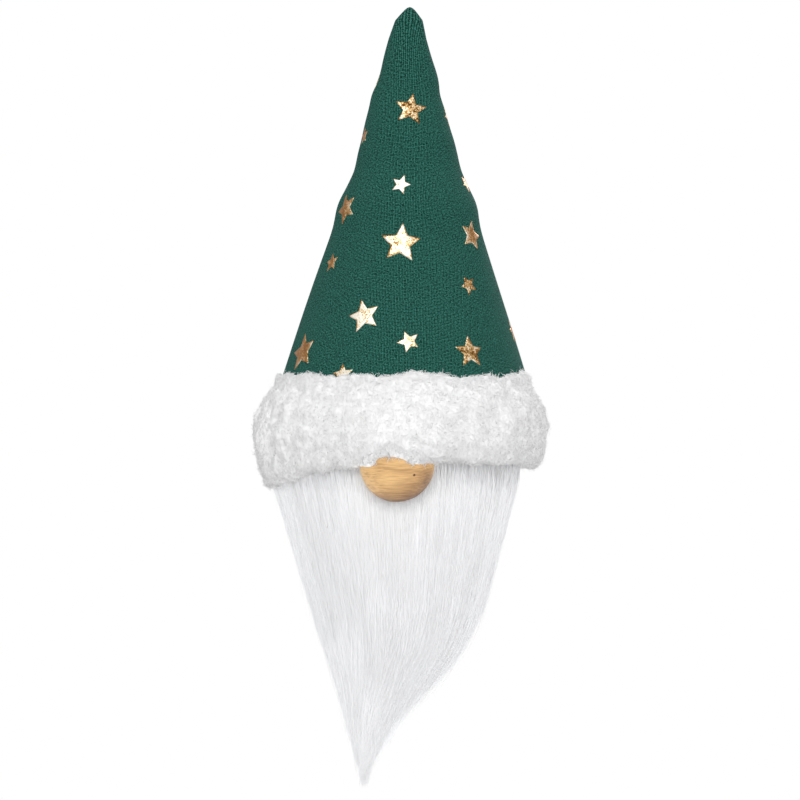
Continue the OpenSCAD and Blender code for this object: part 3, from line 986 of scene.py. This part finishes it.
def make_nose(material):
    """The wooden ball, sanded flat at the back where it is glued on."""
    rng = np.random.default_rng(8)
    tilt = np.linspace(0.001, math.pi - 0.001, 97)
    turns = np.linspace(0, TAU, 144, endpoint=False)
    turn, down = np.meshgrid(turns, tilt)
    ball = np.stack([np.cos(down), np.sin(down) * np.cos(turn), np.sin(down) * np.sin(turn)], axis=-1)
    uneven = 1 + 0.003 * ripple(ball, 1.1, rng) + 0.0012 * ripple(ball, 0.25, rng)
    points = NOSE_CENTRE + NOSE_R * ball * uneven[..., None]
    points[..., 1] = np.minimum(points[..., 1], NOSE_HIGH[1])
    settle(closed_form("wooden_nose", points), material, "nose_wood", on_hat, "nose_ball")


# ---- beard

# The beard's left and right edges, as (height, x).
BEARD_LEFT = ((-127, -14.6), (-83, -24.5), (-34, -39.7), (8, -53.5))
BEARD_RIGHT = ((-127, -14.2), (-117, -10.5), (-98, 1), (-83, 13), (-68, 25.5),
               (-53, 32), (-19, 41.3), (8, 48))
BEARD_BLEND_Z = (-3.0, -36.0)
BODY_DEPTH = 0.62  # the dense part's share of the fur's depth
ROOT_DEPTH = 0.25  # where in it the loose hairs start
# The knit's half width as a share of the beard's, as (height, share).
KNIT_SPREAD = ((KNIT_LOW, 0.35), (-20, 0.93), (10, 0.96))
SIDE_TURN = 20  # how softly the fur's side edges stop turning back
FUR_TOP = 9  # height of the uppermost roots, behind the brim
LOCKS = 1350
LOCK_HAIRS = 34  # hairs in a lock
LOCK_LENGTH = (48, 8)  # mean and spread
LOCK_DEPTH = (0.74, 1.0)  # least and most, as a share of the fur's depth
LOCK_SPREAD = 2.8  # of the hairs round the middle of their lock
HAIR_STEPS = 9  # points along a hair
HAIR_R = (0.08, 0.135)  # least and most at the root
BEHIND_SHARE = 0.17  # of the locks, that hang behind the dense body
BEHIND_DEPTH = (-0.12, 0.0)
BEHIND_SPREAD = 1.1
FREE_EDGE = 0.86  # where the fringe starts, by the place across the beard


def beard_edges(z):
    """The beard's left and right edges at a height."""
    return [np.interp(z, *np.array(edge).T) for edge in (BEARD_LEFT, BEARD_RIGHT)]


def beard_depth(z):
    """How thick the fur lies over the knit at a height."""
    return np.interp(z, (-127, -115, -90, -50, -12, 8), (1.0, 3.0, 6.5, 10.0, 8.5, 6.5))


def beard_points(u, z, depth):
    """Points from -1 to 1 across the beard at a height, a share of the way out through the fur."""
    left, right = beard_edges(z)
    x = (left + right) / 2 + u * (right - left) / 2
    thick = beard_depth(z) * (1 - 0.45 * np.abs(u) ** 2.5)
    r = KNIT_OUTER + thick * depth
    x = x * (1 + 0.02 * depth)
    behind = r ** 2 - x ** 2
    y = -np.sqrt((behind + np.hypot(behind, SIDE_TURN ** 2)) / 2)
    return np.stack([x, y, z], axis=-1)


def across_beard(piece):
    """Bakes a piece's placement into its mesh; it is not bent between the hat and the beard."""
    start, end = ((0, 0, z * MM) for z in BEARD_BLEND_Z)
    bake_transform(piece)
    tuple(start)
    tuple(end)


def lowest_root(u):
    """How far down the hairs grow on the front, by the place across the beard from -1 to 1."""
    return -86 + 44 * np.abs(u + 0.2) ** 1.6


def knit_edge(u):
    """The height of the knit's edge, by the place across the beard."""
    heights, shares = np.array(KNIT_SPREAD).T
    return np.interp(np.abs(u), shares, heights)


def make_beard_body(material):
    """The dense inner mass of the fur, combed in fine grooves, that the loose hairs lie on."""
    rng = np.random.default_rng(12)
    rows, cols = 110, 281
    z = np.linspace(11, BEARD_TIP + 7, rows)[:, None]
    u = np.linspace(-1, 1, cols)[None, :]
    across = u * 46 + 0.6 * np.sin(z / 9 + 3 * u)
    combed = np.stack(np.broadcast_arrays(across, 0.05 * z), axis=-1)
    grooves = 0.5 * ripple(combed, 1.6, rng, 60) + 0.5 * ripple(combed, 4.5, rng, 40)
    slim = np.interp(z, (-100, -40), (0.95, 0.985)) * np.clip((z - BEARD_TIP) / 22, 0.3, 1)
    taper = np.sqrt(np.clip(1 - u ** 2, 0, 1))
    z = z + 0 * u
    front = beard_points(u * slim, z, (BODY_DEPTH + 0.045 * grooves) * taper + 0.1)
    back = beard_points(u * slim, z, 0.07 - 0.03 * grooves * taper)
    # painted shade: the tone follows the grooves, lighter on their ridges and darker in their hollows
    tone = np.clip(0.6 + 0.14 * grooves, 0, 1)
    flat = np.stack([(u + 1) / 4 + 0 * z, (z - z.min()) / np.ptp(z)], axis=-1)
    uv = np.concatenate([flat.reshape(-1, 2), (flat + (0.5, 0)).reshape(-1, 2)])
    outside, inside, rims = shell_faces(rows, cols, False)
    piece = new_piece("beard_fur_body", np.concatenate([front.reshape(-1, 3), back.reshape(-1, 3)]),
                      [outside[:, ::-1], inside[:, ::-1], *rims],
                      {"tone": np.concatenate([tone.ravel(), tone.ravel()])}, {"OFBake": uv})
    settle(piece, material, "beard_fur", across_beard, "beard_root_pile", "beard_pile")


def hair_lines(u, z, length, depth, short, share):
    """Hairs that start in the body, rise to their depth in the fur and end short of the beard's point."""
    drop = np.minimum(length, z - BEARD_TIP - 1 - short)
    heights = z[:, None] - drop[:, None] * share
    rise = np.clip(share * 5, 0, 1) ** 0.7 * (0.86 + 0.14 * share)
    return beard_points(u[:, None], heights, ROOT_DEPTH + (depth[:, None] - ROOT_DEPTH) * rise)


# Locks or hairs: places across the beard, root heights, lengths, shares of the way out through
# the fur, the waves of its surface there, and whether they hang behind the dense body.
Tufts = namedtuple("Tufts", "u z length depth swells behind")


def plant_locks(rng):
    """The locks' places across the beard, root heights, lengths and depths, and which hang behind."""
    u = rng.uniform(-0.99, 0.99, LOCKS)
    behind = rng.uniform(size=LOCKS) < BEHIND_SHARE
    u = np.where(behind, 0.82 * u, u)
    z = FUR_TOP + (lowest_root(u) - FUR_TOP) * rng.uniform(0, 1, LOCKS) ** 1.1
    z = np.where(rng.uniform(size=LOCKS) < 0.2, rng.uniform(4, 12, LOCKS), z)
    back_z = knit_edge(u) + 6 - 50 * rng.uniform(0, 1, LOCKS)
    z = np.where(behind, np.maximum(back_z, BEARD_TIP + 22), z)
    length = rng.normal(*LOCK_LENGTH, LOCKS)
    swells = ripple(np.stack([u * 30, z * 0.35], axis=-1), 16, rng)
    depth = rng.uniform(*LOCK_DEPTH, LOCKS) * (1 + 0.06 * swells)
    depth = np.where(behind, rng.uniform(*BEHIND_DEPTH, LOCKS), depth)
    return Tufts(u, z, length, depth, swells, behind)


def lock_lines(locks, share, rng):
    """The middle line of each lock, and how far it sways aside along its length."""
    guide = hair_lines(locks.u, locks.z, locks.length, locks.depth, 4.0, share)
    waves = rng.normal(0, 0.7, (LOCKS, 1)) * np.sin(share * math.pi * rng.uniform(0.7, 1.8, (LOCKS, 1)))
    sway = waves + rng.normal(0, 1.0, (LOCKS, 1)) * share ** 2
    guide[..., 0] += sway
    return guide, sway


def scatter_hairs(locks, rng):
    """The hairs of every lock, scattered round its middle."""
    hairs = Tufts(*(np.repeat(value, LOCK_HAIRS) for value in locks))
    count = len(hairs.u)
    left, right = beard_edges(hairs.z)
    spread = np.where(hairs.behind, BEHIND_SPREAD, LOCK_SPREAD)
    u = hairs.u + rng.normal(0, spread, count) / ((right - left) / 2)
    z = hairs.z + rng.normal(0, spread, count)
    length = hairs.length * rng.uniform(0.6, 1.15, count)
    depth = hairs.depth + rng.normal(0, 0.05, count)
    return hairs._replace(u=np.clip(u, -1.02, 1.02), z=z, length=length, depth=depth)


def comb_hairs(hairs, guide, sway, share, rng):
    """The hairs' paths, drawn part of the way to their lock's middle, with fine waves and strays."""
    count = len(hairs.u)
    short = np.abs(rng.normal(0, 6, count)) + 3 * np.abs(hairs.u + 0.1) + 14 * hairs.behind
    own = hair_lines(hairs.u, hairs.z, hairs.length, hairs.depth, short, share)
    own[..., 0] += sway
    pull = (rng.uniform(0.1, 0.6, (count, 1)) * share ** 1.3)[..., None]
    paths = own * (1 - pull) + guide * pull
    paths[..., 2] = own[..., 2]
    reach = rng.normal(0, 0.26, (count, 1, 2))
    waves = np.sin(share * TAU * rng.uniform(0.8, 2.4, (count, 1)))
    paths[..., :2] += reach * waves[..., None]
    at_edge = np.abs(hairs.u) > 0.9
    loose = ~hairs.behind & (rng.uniform(size=count) < 0.06 + 0.2 * at_edge)
    stray = loose[:, None, None] * rng.normal(0, 1.5, (count, 1, 3))
    return paths + stray * (share ** 2)[:, None]


def fur_facing(paths, locks, rng):
    """The way the fur faces at each point of each hair."""
    tilt = rng.normal(0, 0.05, (LOCKS, 3)) * np.where(locks.behind, 5, 1)[:, None]
    tilt[:, 2] += 0.10 * locks.swells
    tilt = np.repeat(tilt, LOCK_HAIRS, axis=0) + rng.normal(0, 0.05, (len(paths), 3))
    outward = unit(paths * (1, 1, 0))
    outward[np.repeat(locks.behind, LOCK_HAIRS), :, 1] *= -1
    return unit(outward + tilt[:, None])


def make_beard_fur(material):
    """Long straight fur in soft locks, which all run towards the beard's point."""
    rng = np.random.default_rng(34)
    share = np.linspace(0, 1, HAIR_STEPS)
    locks = plant_locks(rng)
    guide, sway = (np.repeat(line, LOCK_HAIRS, axis=0) for line in lock_lines(locks, share, rng))
    hairs = scatter_hairs(locks, rng)
    paths = comb_hairs(hairs, guide, sway, share, rng)
    count = len(paths)
    width = rng.uniform(*HAIR_R, (count, 1)) * (1 - 0.86 * share ** 1.6)
    lock_tone_and_shade = rng.uniform(0.45, 0.85, LOCKS)
    # painted light and shade: locks rooted near the top are painted lighter and those round the middle
    # band darker; the rest of the tone differs at random
    lock_tone_and_shade += 0.3 * bump(locks.z, FUR_TOP, 12) - 0.35 * bump(locks.z, -30, 25)
    tone = np.clip(np.repeat(lock_tone_and_shade, LOCK_HAIRS) + rng.normal(0, 0.12, count), 0, 1)
    side_on = np.tile([0.0, 1.0, 0.0], (count, 1)) + rng.normal(0, 0.4, (count, 3))
    facing = fur_facing(paths, locks, rng)
    fringe = ~hairs.behind & (np.abs(hairs.u) > FREE_EDGE)
    for piece in strand_pieces("beard_fur", paths, width, tone, side_on, facing, rng, fringe):
        settle(piece, material, "beard_fur", across_beard)


def make_knit(material):
    """The knit that the fur grows from: glued inside the brim at the top, and hanging below it."""
    rows, cols = 120, 81
    z = np.linspace(TAPE_HIGH[2], KNIT_LOW + 1, rows)[:, None]
    left, right = beard_edges(z)
    shrink = np.interp(z, *np.array(KNIT_SPREAD).T)
    middle, half = (left + right) / 2, (right - left) / 2 * shrink
    x = middle + np.linspace(-1, 1, cols)[None, :] * half
    x = np.clip(x, -0.97 * KNIT_INNER, 0.97 * KNIT_INNER)
    z = z + 0 * x
    wave = 0.12 * np.sin(x / 6 + z / 17)
    turn = np.arcsin(x / KNIT_OUTER)
    grids = [polar(turn, r + wave * (z < -12), z) for r in (KNIT_OUTER, KNIT_INNER)]
    flat = np.stack([turn * KNIT_OUTER, z], axis=-1)
    piece = sheet_piece("beard_knit_sheet", grids[0][::-1], grids[1][::-1], False,
                        uvs={"flat": flat[::-1]})
    settle(piece, material, "beard_knit", across_beard, "beard_tape", "beard_backing")


# ---- the object

cotton, foil = cotton_material(), foil_material()
fleece_ground = fleece_base_material()
curl_fibre = fur_material("brim_curl_fibre", (0.85, 0.85, 0.855), (0.95, 0.95, 0.95))[0]
beard_fibre = beard_material()
felt = felt_material("stiffener_felt", (0.52, 0.51, 0.47), (0.68, 0.67, 0.62))
wadding = felt_material("stuffing", (0.80, 0.80, 0.79), (0.92, 0.92, 0.92))
knit = knit_material()
card, glue = card_material(), glue_material()
green_thread = thread_material("green_thread", (0.010, 0.055, 0.043), (0.030, 0.115, 0.092))
white_thread = thread_material("white_thread", (0.66, 0.66, 0.65), (0.86, 0.86, 0.85))
wood = wood_material()

make_hat_cloth(cotton)
make_foil(foil)
make_stiffener(felt)
make_wad("lower_stuffing", "stuffing_plug", on_hat, CLOTH_T + 1.6, np.random.default_rng(6), wadding)
make_wad("tip_wad", "tip_stuffing", on_tip, CLOTH_T + 0.2, np.random.default_rng(7), wadding)
make_seam_stitches(green_thread)
make_brim_ground(fleece_ground)
make_brim_curls(curl_fibre)
make_ring(card)
make_nose(wood)
make_knit(knit)
make_beard_body(beard_fibre)
make_beard_fur(beard_fibre)

CAD_LOOKS = {"rear_glue_bead": glue, "brim_join_thread": white_thread, "nose_glue": glue}
for node_name, look in CAD_LOOKS.items():
    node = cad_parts[node_name]
    node.data.materials.clear()
    node.data.materials.append(look)


# ---- stage, lights and camera

VIEW_HEIGHT = 0.328  # height of the view at the hat's axis
VIEW_CENTRE_Z = 0.032
CAMERA_BACK = 2.5
FLOOR_Z = cad_box[0][2] - 0.035
FLOOR_R = 0.42
LIGHT_LEVEL = 0.64  # the surroundings' light from the side
MORE_FROM_ABOVE = 0.25
MORE_FROM_FRONT = 0.12


def make_stage():
    """A plain pale floor, clear from below, and a white background."""
    mesh = bpy.data.meshes.new("floor")
    around = [TAU * i / 128 for i in range(128)]
    rim = [(FLOOR_R * math.cos(t), FLOOR_R * math.sin(t), FLOOR_Z) for t in around]
    mesh.from_pydata(rim, [], [range(128)])
    floor = bpy.data.objects.new("floor", mesh)
    bpy.context.scene.collection.objects.link(floor)
    material, tree, shader = new_material("floor", Roughness=0.9, Specular_IOR_Level=0.1)
    shader.inputs["Base Color"].default_value = (0.82, 0.82, 0.82, 1)
    mesh.materials.append(material)
    clear = add(tree, "ShaderNodeBsdfTransparent").outputs[0]
    below = add(tree, "ShaderNodeNewGeometry").outputs["Backfacing"]
    seen_from_above = add(tree, "ShaderNodeMixShader", {0: below, 1: shader.outputs[0], 2: clear})
    tree.links.new(seen_from_above.outputs[0], tree.nodes["Material Output"].inputs["Surface"])
    world = bpy.data.worlds.new("studio")
    world.use_nodes = True
    bpy.context.scene.world = world
    tree = world.node_tree
    seen = add(tree, "ShaderNodeLightPath").outputs["Is Camera Ray"]
    way = add(tree, "ShaderNodeTexCoord").outputs["Generated"]
    ways = axes(tree, way)
    light = fitted(tree, ways[2], MORE_FROM_ABOVE, LIGHT_LEVEL)
    light = fitted(tree, ways[1], -MORE_FROM_FRONT, light)
    strength = calc(tree, "MAXIMUM", seen, light)
    background = tree.nodes["Background"]
    background.inputs["Color"].default_value = (1, 1, 1, 1)
    tree.links.new(strength, background.inputs["Strength"])


def area_light(name, place, size, power):
    """A soft square light that faces the hat."""
    lamp = bpy.data.lights.new(name, "AREA")
    lamp.size = size
    lamp.energy = power
    light = bpy.data.objects.new(name, lamp)
    light.location = place
    aim = -light.location
    light.rotation_euler = aim.to_track_quat("-Z", "Y").to_euler()
    bpy.context.scene.collection.objects.link(light)


def make_camera():
    """A long lens straight in front of the hat."""
    camera = bpy.data.cameras.new("camera")
    camera.lens = camera.sensor_width * CAMERA_BACK / VIEW_HEIGHT
    camera.clip_end = 20
    view = bpy.data.objects.new("camera", camera)
    view.location = (0, -CAMERA_BACK, VIEW_CENTRE_Z)
    view.rotation_euler = (math.pi / 2, 0, 0)
    bpy.context.scene.collection.objects.link(view)
    bpy.context.scene.camera = view


make_stage()
area_light("key", (-0.6, -2.0, 1.8), 1.4, 15.5)
area_light("fill", (1.7, -1.9, 0.6), 1.4, 6)
area_light("back", (0.7, 2.4, 1.3), 1.6, 36)
make_camera()
bpy.context.scene.view_settings.view_transform = "Standard"
